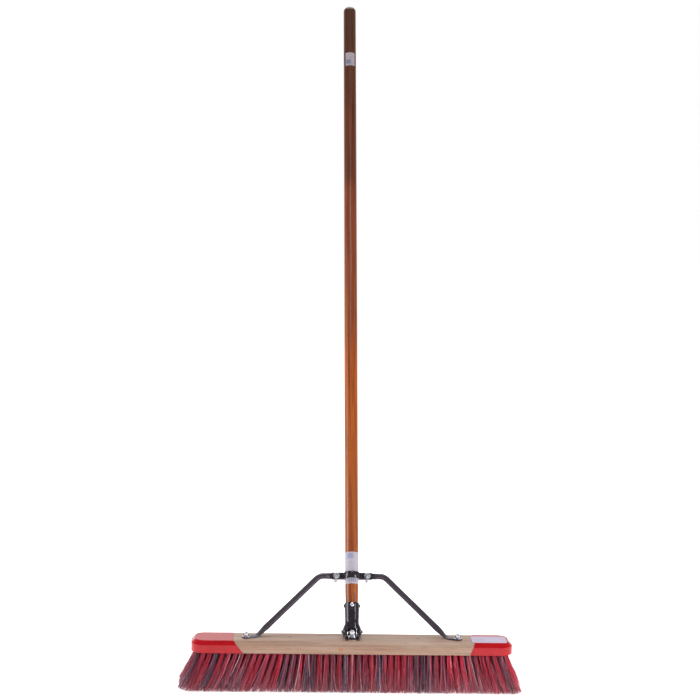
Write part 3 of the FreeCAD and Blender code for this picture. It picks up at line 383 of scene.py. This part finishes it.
# the printing on the labels: patches bounded in mm along axis 0, 1 and 2, each with its ink. On the
# handle axis 2 runs up from the block's top, and FRONT keeps the print to the label's front half.
FRONT = (1, -20, 2)
BARS = [([(0, x, x + 1.7), FRONT, (2, 107.5, 115.5)], "787490") for x in (-8.6, -5.2, -1.6, 1.8, 5.2)]
LINES = [([(0, -9.5, 6.5), FRONT, (2, t, t + 1.0)], "AAA5B4") for t in (133, 137, 141, 145)]
TITLE_BLOCK = ([(0, -10.5, 2.6), FRONT, (2, 154.5, 165.2)], "9494B4")
STICKER_BLOCK = ([(0, -8.5, 1.0), FRONT, (2, 1242, 1252)], "6C7084")
HANDLE_LABEL = label_paper("printed_handle_label", [TITLE_BLOCK] + LINES + BARS, handle_place)
STICKER = label_paper("printed_round_sticker", [STICKER_BLOCK], handle_place, "A0969E")
BLOCK_LABEL = label_paper(
    "printed_block_label",
    [
        ([(0, 233, 251), (1, -20, -4)], "A9A2B8"),
        ([(0, 256, 286), (1, -17, -14)], "B5AFC2"),
        ([(0, 256, 282), (1, -9, -6.6)], "B9B3C6"),
        ([(0, 256, 279), (1, -2, 0)], "B9B3C6"),
    ],
    tone="B8ABC2",
)

FINISHES = {
    "raw_hardwood": HARDWOOD,
    "red_resin": RESIN,
    "bristle": FIBRE,
    "staple_wire": WIRE,
    "lacquered_wood": LACQUER,
    "black_steel": POWDER_COAT,
    "zinc_steel": ZINC,
}
SLOTS = {part["node"]: part["material_slot"] for part in frame["record"]["subparts"]}
ENAMELLED = ("socket", "collar_front", "collar_rear", "base_bracket")


def finish_of(node):
    """The material of a CAD node: pressed steel is enamelled, and the rest follows its slot."""
    return ENAMEL if node in ENAMELLED else FINISHES[SLOTS[node]]


def finish(piece, mat):
    """Gives every slot of a piece the same material."""
    if not piece.material_slots:
        piece.data.materials.append(mat)
    for entry in piece.material_slots:
        entry.material = mat


# ---------------------------------------------------------------- modelling helpers


def deselect():
    """Leaves nothing selected."""
    bpy.ops.object.select_all(action="DESELECT")


def only(piece):
    """Makes a piece the only one selected, and the active one."""
    deselect()
    piece.hide_set(False)
    piece.select_set(True)
    bpy.context.view_layer.objects.active = piece


def edit(piece):
    """Opens a piece's mesh for vertex edits."""
    only(piece)
    bpy.ops.object.mode_set(mode="EDIT")
    bpy.ops.mesh.select_mode(type="VERT")


def done():
    """Closes the mesh again."""
    bpy.ops.object.mode_set(mode="OBJECT")


def settle(piece, name, mat):
    """Puts the piece's place into its mesh and lets it ride the broom."""
    only(piece)
    bpy.ops.object.transform_apply(location=True, rotation=True, scale=True)
    piece.name = name
    finish(piece, mat)
    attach(piece, "root")
    return piece


WELD = 0.01 * MM
BEVEL_FROM = math.radians(35)
SMOOTH_UNDER = math.radians(32)


def broken_edges(node, width_mm):
    """A copy of a CAD piece whose sharp edges are rounded over, as on pressed and tumbled steel."""
    only(NODES[node])
    bpy.ops.object.duplicate()
    piece = bpy.context.object
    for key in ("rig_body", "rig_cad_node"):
        if key in piece:
            del piece[key]
    piece.parent = None
    edit(piece)
    bpy.ops.mesh.select_all(action="SELECT")
    bpy.ops.mesh.customdata_custom_splitnormals_clear()
    bpy.ops.mesh.remove_doubles(threshold=WELD)
    done()
    bevel = piece.modifiers.new("broken edge", "BEVEL")
    bevel.width = width_mm * MM
    bevel.segments = 2
    bevel.limit_method = "ANGLE"
    bevel.angle_limit = BEVEL_FROM
    bevel.use_clamp_overlap = True
    bevel.harden_normals = False
    bpy.ops.object.modifier_apply(modifier=bevel.name)
    bpy.ops.object.shade_smooth_by_angle(angle=SMOOTH_UNDER)
    settle(piece, node + "_finished", finish_of(node))
    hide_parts(node)
    return piece


UP = Vector((0, 0, 1))
THREAD_SIDES = 24
THREAD_DEPTH = 0.35  # of the pitch
TIP_CHAMFER = 0.15  # of half the pitch
TIP_SIZE = 0.75  # of the root
FLAT = 0.0001 * MM
NUT_OVERLAP = 0.4 * MM


def thread(name, start, axis, length, radius, pitch):
    """The threaded end of a bolt: a ring of crests and roots drawn out along its axis."""
    deselect()
    turn = UP.rotation_difference(axis)
    bpy.ops.mesh.primitive_circle_add(vertices=THREAD_SIDES, radius=radius, fill_type="NOTHING")
    piece = bpy.context.object
    edit(piece)
    bpy.ops.mesh.select_all(action="SELECT")
    step = pitch / 2
    crest, root = radius, radius - THREAD_DEPTH * pitch
    size = crest
    at = 0.0
    count = max(2, int(length / step))
    for ring in range(count):
        target = root if ring % 2 == 0 or ring == count - 1 else crest
        bpy.ops.mesh.extrude_region_move(TRANSFORM_OT_translate={"value": (0, 0, step)})
        bpy.ops.transform.resize(value=(target / size, target / size, 1), center_override=(0, 0, at + step))
        size = target
        at += step
    bpy.ops.mesh.extrude_region_move(TRANSFORM_OT_translate={"value": (0, 0, TIP_CHAMFER * step)})
    bpy.ops.transform.resize(value=(TIP_SIZE, TIP_SIZE, 1), center_override=(0, 0, at))
    bpy.ops.mesh.edge_face_add()
    bpy.ops.mesh.select_all(action="DESELECT")
    done()
    # the first ring lies at height 0 and is closed by a face of its own
    for corner in piece.data.vertices:
        if corner.co.z < FLAT:
            corner.select = True
    edit(piece)
    bpy.ops.mesh.edge_face_add()
    bpy.ops.mesh.select_all(action="SELECT")
    bpy.ops.mesh.normals_make_consistent(inside=False)
    done()
    piece.rotation_mode = "QUATERNION"
    piece.rotation_quaternion = turn
    piece.location = start
    return settle(piece, name, ZINC)


# ---------------------------------------------------------------- bristles

FILAMENT_SIDES = 4
FILAMENT_RINGS = 6
RING_THINNING = 0.95  # each ring of a filament to the one above it
FILAMENTS = 78  # in a tuft
ROOT_RADIUS = 3.3 * MM  # of a tuft at the underside
TIP_RADIUS = 7.9 * MM  # and at the floor
UNDERSIDE = BLOCK_LOW.z
IN_HOLE = 8 * MM  # how far a filament starts inside its hole
STRAY = 1.9 * MM  # usual sideways miss of a filament's end
WILD_SHARE, WILD_TIMES = 0.09, 3.6  # filaments that stray further, and how much
WAVE = 0.5 * MM
TRIM_SPREAD = 1.2 * MM  # how unevenly the ends are trimmed
SHORT_SHARE, SHORT_BY = 0.1, 2.5 * MM  # filaments trimmed shorter than the rest
THICKNESS = (0.32, 0.47)  # half the width of a filament in mm, least and most
WORN_FROM = 307 * MM  # distance from the middle where the end tufts begin to be worn short
WORN_OVER = 21 * MM  # distance over which the wear grows
WORN_SHORT = 6 * MM  # how much shorter the furthest ends are
BOX_MARGIN = 0.1 * MM  # how far inside the broom's outline the filaments are held


def model_filament():
    """One filament, unit length down z, modelled once: a four-sided fibre that thins towards its tip."""
    deselect()
    bpy.ops.mesh.primitive_circle_add(vertices=FILAMENT_SIDES, radius=1.0, fill_type="NGON")
    piece = bpy.context.object
    edit(piece)
    bpy.ops.mesh.select_all(action="SELECT")
    step = 1.0 / (FILAMENT_RINGS - 1)
    for ring in range(1, FILAMENT_RINGS):
        bpy.ops.mesh.extrude_region_move(TRANSFORM_OT_translate={"value": (0, 0, -step)})
        bpy.ops.transform.resize(
            value=(RING_THINNING, RING_THINNING, 1), center_override=(0, 0, -step * ring)
        )
    bpy.ops.mesh.select_all(action="SELECT")
    bpy.ops.mesh.normals_make_consistent(inside=False)
    done()
    return piece


def tuft_places(node):
    """The middle of every tuft at its folded end and at its trimmed end, from the tufts' CAD solids."""
    only(NODES[node])
    bpy.ops.object.duplicate()
    edit(bpy.context.object)
    bpy.ops.mesh.select_all(action="SELECT")
    bpy.ops.mesh.remove_doubles(threshold=WELD)
    bpy.ops.mesh.separate(type="LOOSE")
    done()
    places = []
    for part in list(bpy.context.selected_objects):
        corners = np.array([v.co for v in part.data.vertices])
        top = corners[corners[:, 2] > corners[:, 2].max() - 1e-5]
        foot = corners[corners[:, 2] < corners[:, 2].min() + 1e-5]
        ends = [(e.min(0) + e.max(0)) / 2 for e in (top, foot)]
        places.append(ends)
        bpy.data.objects.remove(part)
    return sorted(places, key=lambda ends: (round(ends[0][0], 5), ends[0][1]))


# the colours of the filaments, and how much of each goes into a red, a rose, a mauve or a grey bundle:
# BC1030, A82E48, 601630 and 2E2636 are the fibres' own colours, the grey-mauve 685268 is painted sheen on
# the dark fibres, and the pale pinks C86C7C and D0B4BE are painted highlights
TINTS_AND_HIGHLIGHTS = [colour(c)[:3] for c in ("BC1030", "A82E48", "601630", "2E2636", "685268", "C86C7C", "D0B4BE")]
BUNDLES = {
    "red": (0.46, 0.22, 0.10, 0.06, 0.06, 0.08, 0.02),
    "rose": (0.18, 0.30, 0.14, 0.08, 0.15, 0.12, 0.03),
    "mauve": (0.08, 0.20, 0.17, 0.14, 0.28, 0.09, 0.04),
    "grey": (0.06, 0.12, 0.13, 0.32, 0.29, 0.04, 0.04),
}
BUNDLE_NAMES = list(BUNDLES)
BUNDLE_SHARES = (0.29, 0.35, 0.27, 0.09)
PALE_TIP = np.array(colour("B48A94")[:3])
FIRST_SEED = 100


def bristle_row(node, unit, seed):
    """A row of tufts: filaments fanned from each hole to the trimmed end, crossing a little, on one mesh."""
    rng = np.random.default_rng(seed)
    corners = np.array([v.co for v in unit.data.vertices])
    faces = [list(p.vertices) for p in unit.data.polygons]
    down = -corners[:, 2]
    all_corners, all_faces, all_tints = [], [], []
    offset = 0
    for top, foot in tuft_places(node):
        share = (top[2] - UNDERSIDE) / (top[2] - foot[2])
        root = top + (foot - top) * share
        mix = BUNDLES[BUNDLE_NAMES[rng.choice(len(BUNDLE_NAMES), p=BUNDLE_SHARES)]]
        shade = rng.uniform(0.8, 1.2)
        for _ in range(FILAMENTS):
            radius = math.sqrt(rng.random())
            angle = rng.random() * 2 * math.pi
            disc = np.array([math.cos(angle), math.sin(angle), 0]) * radius
            tip_disc = disc * TIP_RADIUS * rng.uniform(0.85, 1.08)
            stray = rng.normal(0, STRAY, 2)
            if rng.random() < WILD_SHARE:
                stray = stray * WILD_TIMES
            stray = np.append(stray, 0.0)
            wave = rng.normal(0, WAVE, 3) * np.array([1, 1, 0])
            length = UNDERSIDE + IN_HOLE - abs(rng.normal(0, TRIM_SPREAD))
            if rng.random() < SHORT_SHARE:
                length -= SHORT_BY
            thick = rng.uniform(*THICKNESS) * MM
            # how far down from the underside each corner lies, as a share of the trim
            fall = (down * length - IN_HOLE) / UNDERSIDE
            open_share = np.clip(fall, 0, 1)[:, None]
            fan = open_share**0.9
            bend = open_share**1.12
            path = root + disc * ROOT_RADIUS * (1 - fan) + tip_disc * fan + (foot - root) * bend
            path += stray * open_share**1.6 + wave * np.sin(open_share * math.pi * 2)
            path[:, 2] = UNDERSIDE * (1 - fall)
            # the tufts at the ends are worn round, shorter the further out they reach
            worn = min(max((abs(path[-1, 0]) - WORN_FROM) / WORN_OVER, 0.0), 1.0) ** 2 * WORN_SHORT
            path[:, 2] += worn * open_share[:, 0]
            turn = rng.random() * math.pi / 2
            cos, sin = math.cos(turn), math.sin(turn)
            path[:, 0] += (corners[:, 0] * cos - corners[:, 1] * sin) * thick
            path[:, 1] += (corners[:, 0] * sin + corners[:, 1] * cos) * thick
            all_corners.append(path)
            # a filament's colour from the list: a fibre colour, or painted sheen or a painted highlight
            tint = np.array(TINTS_AND_HIGHLIGHTS[rng.choice(len(TINTS_AND_HIGHLIGHTS), p=mix)]) * shade * rng.uniform(0.7, 1.5)
            pale = (open_share**3) * rng.uniform(0.15, 0.75)
            tints = tint * (1 - pale) + PALE_TIP * pale
            all_tints.append(np.hstack([tints, np.ones((len(tints), 1))]))
            all_faces.extend([[i + offset for i in f] for f in faces])
            offset += len(corners)
    mesh = unit.data.copy()
    mesh.clear_geometry()
    # filaments that stray furthest are held at the broom's outline, seen from above
    points = np.vstack(all_corners)
    for axis in (0, 1):
        low, high = cad_low[axis] + BOX_MARGIN, cad_high[axis] - BOX_MARGIN
        points[:, axis] = np.clip(points[:, axis], low, high)
    points[:, 2] = np.clip(points[:, 2], 0.0, 1.0)
    mesh.from_pydata(points.tolist(), [], all_faces)
    # the filaments' colours, with painted sheen and painted highlights among them
    layer = mesh.attributes.new("fibre_tint_and_highlight", "FLOAT_COLOR", "POINT")
    layer.data.foreach_set("color", np.clip(np.vstack(all_tints), 0, 1).ravel())
    piece = bpy.data.objects.new(node + "_filaments", mesh)
    bpy.context.scene.collection.objects.link(piece)
    only(piece)
    bpy.ops.object.shade_smooth()
    finish(piece, FIBRE)
    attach(piece, "root")
    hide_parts(node)


filament = model_filament()
for number in range(1, 1 + sum(node.startswith("tuft_row_") for node in NODES)):
    bristle_row("tuft_row_%d" % number, filament, FIRST_SEED + number)
bpy.data.objects.remove(filament)


# ---------------------------------------------------------------- steel parts

EDGES_MM = {
    "socket": 0.35,
    "socket_rivet": 0.5,
    "socket_screw": 0.3,
    "ear_rivet_left": 0.6,
    "ear_rivet_right": 0.6,
    "base_bracket": 0.4,
    "main_washer": 0.25,
    "main_lock_washer": 0.25,
    "main_nut": 0.5,
    "brace_arm_left": 0.3,
    "brace_arm_right": 0.3,
    "collar_front": 0.4,
    "collar_rear": 0.4,
    "collar_bolt_left": 0.4,
    "collar_bolt_right": 0.4,
    "collar_nut_left": 0.4,
    "collar_nut_right": 0.4,
    "foot_washer_left": 0.2,
    "foot_washer_right": 0.2,
    "foot_nut_left": 0.4,
    "foot_nut_right": 0.4,
}
for node, width in EDGES_MM.items():
    broken_edges(node, width)

for node, piece in NODES.items():
    if not piece.hide_render and SLOTS[node] in FINISHES:
        finish(piece, FINISHES[SLOTS[node]])
finish(NODES["handle_sticker"], STICKER)
finish(NODES["handle_label"], HANDLE_LABEL)
finish(NODES["block_sticker"], BLOCK_LABEL)


# three eighths and quarter inch coarse threads: bolt radius and pitch
LARGE_THREAD, LARGE_PITCH = 4.76 * MM, 1.59 * MM
SMALL_THREAD, SMALL_PITCH = 3.18 * MM, 1.27 * MM
THREAD_PROUD = 0.1 * MM
COLLAR_NUT_HALF = 2.8 * MM
COLLAR_OVERLAP = 0.3 * MM
COLLAR_SHORT = 2.2 * MM


def threads():
    """The threads that stand out of the nuts."""
    for bolt, nut, radius, pitch in (
        ("main_bolt", "main_nut", LARGE_THREAD, LARGE_PITCH),
        ("foot_bolt_left", "foot_nut_left", SMALL_THREAD, SMALL_PITCH),
        ("foot_bolt_right", "foot_nut_right", SMALL_THREAD, SMALL_PITCH),
    ):
        low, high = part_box(bolt)
        nut_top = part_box(nut)[1].z
        start = Vector(((low.x + high.x) / 2, (low.y + high.y) / 2, nut_top - NUT_OVERLAP))
        thread(bolt + "_thread", start, UP, high.z - start.z, radius + THREAD_PROUD, pitch)
    ahead = Vector((0, -math.cos(LEAN), math.sin(LEAN)))
    for side in ("left", "right"):
        low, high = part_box("collar_bolt_" + side)
        nut_low, nut_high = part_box("collar_nut_" + side)
        middle = (nut_low + nut_high) / 2
        tail_end = Vector((middle.x, high.y, low.z))
        out = (tail_end - middle).dot(-ahead)
        start = middle - ahead * (COLLAR_NUT_HALF - COLLAR_OVERLAP)
        length = out - COLLAR_NUT_HALF - COLLAR_SHORT
        thread(
            "collar_bolt_%s_thread" % side, start, -ahead, length, SMALL_THREAD + THREAD_PROUD, SMALL_PITCH
        )


threads()


# ---------------------------------------------------------------- floor, light, camera

deselect()
bpy.ops.mesh.primitive_plane_add(size=60, location=(0, 20, 0))
floor = bpy.context.object
floor.name = "floor"
FLOOR_GLOW = {"Specular_IOR_Level": 0.0, "Emission_Color": (1, 1, 1, 1), "Emission_Strength": 0.62}
floor.data.materials.append(material("matt_white_floor", "FFFFFF", 0.9, **FLOOR_GLOW))

ROOM_LIGHT = 0.3  # of the white behind the broom
BACKDROP_FROM, BACKDROP_FULL = 0.45, 0.9

scene = bpy.context.scene
scene.view_settings.view_transform = "Standard"
world = bpy.data.worlds.new("white studio")
world.use_nodes = True
scene.world = world


def studio_surround():
    """A white backdrop behind the broom that falls off to a dim room round the camera."""
    tree = world.node_tree
    place = tree.nodes.new("ShaderNodeTexCoord")
    axes = tree.nodes.new("ShaderNodeSeparateXYZ")
    tree.links.new(place.outputs["Generated"], axes.inputs[0])
    fall = tree.nodes.new("ShaderNodeMapRange")
    fall.interpolation_type = "SMOOTHSTEP"
    fall.inputs["From Min"].default_value = BACKDROP_FROM
    fall.inputs["From Max"].default_value = BACKDROP_FULL
    fall.inputs["To Min"].default_value = ROOM_LIGHT
    fall.inputs["To Max"].default_value = 1.0
    tree.links.new(axes.outputs[1], fall.inputs["Value"])
    tree.links.new(fall.outputs[0], tree.nodes["Background"].inputs["Color"])
    tree.nodes["Background"].inputs["Strength"].default_value = 1.0


studio_surround()


def softbox(name, place, aim, width, height, watts):
    """A rectangular lamp, sizes in metres, turned towards the point aimed at."""
    lamp = bpy.data.lights.new(name, "AREA")
    lamp.shape = "RECTANGLE"
    lamp.size, lamp.size_y, lamp.energy = width, height, watts
    holder = bpy.data.objects.new(name, lamp)
    holder.location = place
    holder.rotation_euler = (Vector(aim) - Vector(place)).to_track_quat("-Z", "Y").to_euler()
    scene.collection.objects.link(holder)


softbox("softbox left", (-1.9, 0.0, 0.72), (0, 0.2, 0.5), 0.9, 1.4, 22)
softbox("softbox right", (1.75, -1.15, 0.72), (0, 0.2, 0.5), 0.8, 1.4, 27)
softbox("overhead", (0, 1.5, 3.6), (0, 0.1, 0.0), 3.2, 2.0, 88)
softbox("top strip", (0, -1.55, 3.6), (0, 0.1, 0.1), 1.4, 0.4, 9)

CAMERA_ROLL = math.radians(1.24)
CAMERA_PLACE = Vector((-0.2144, -4.2807, BLOCK_HIGH.z + 1.1075))
CAMERA_AHEAD = Vector((0.0460, 0.9907, -0.1284))
lens = bpy.data.cameras.new("camera")
lens.lens = 118.6
lens.sensor_width = 36
camera = bpy.data.objects.new("camera", lens)
camera.location = CAMERA_PLACE
camera.rotation_mode = "QUATERNION"
camera.rotation_quaternion = CAMERA_AHEAD.to_track_quat("-Z", "Y") @ Quaternion(UP, CAMERA_ROLL)
scene.collection.objects.link(camera)
scene.camera = camera
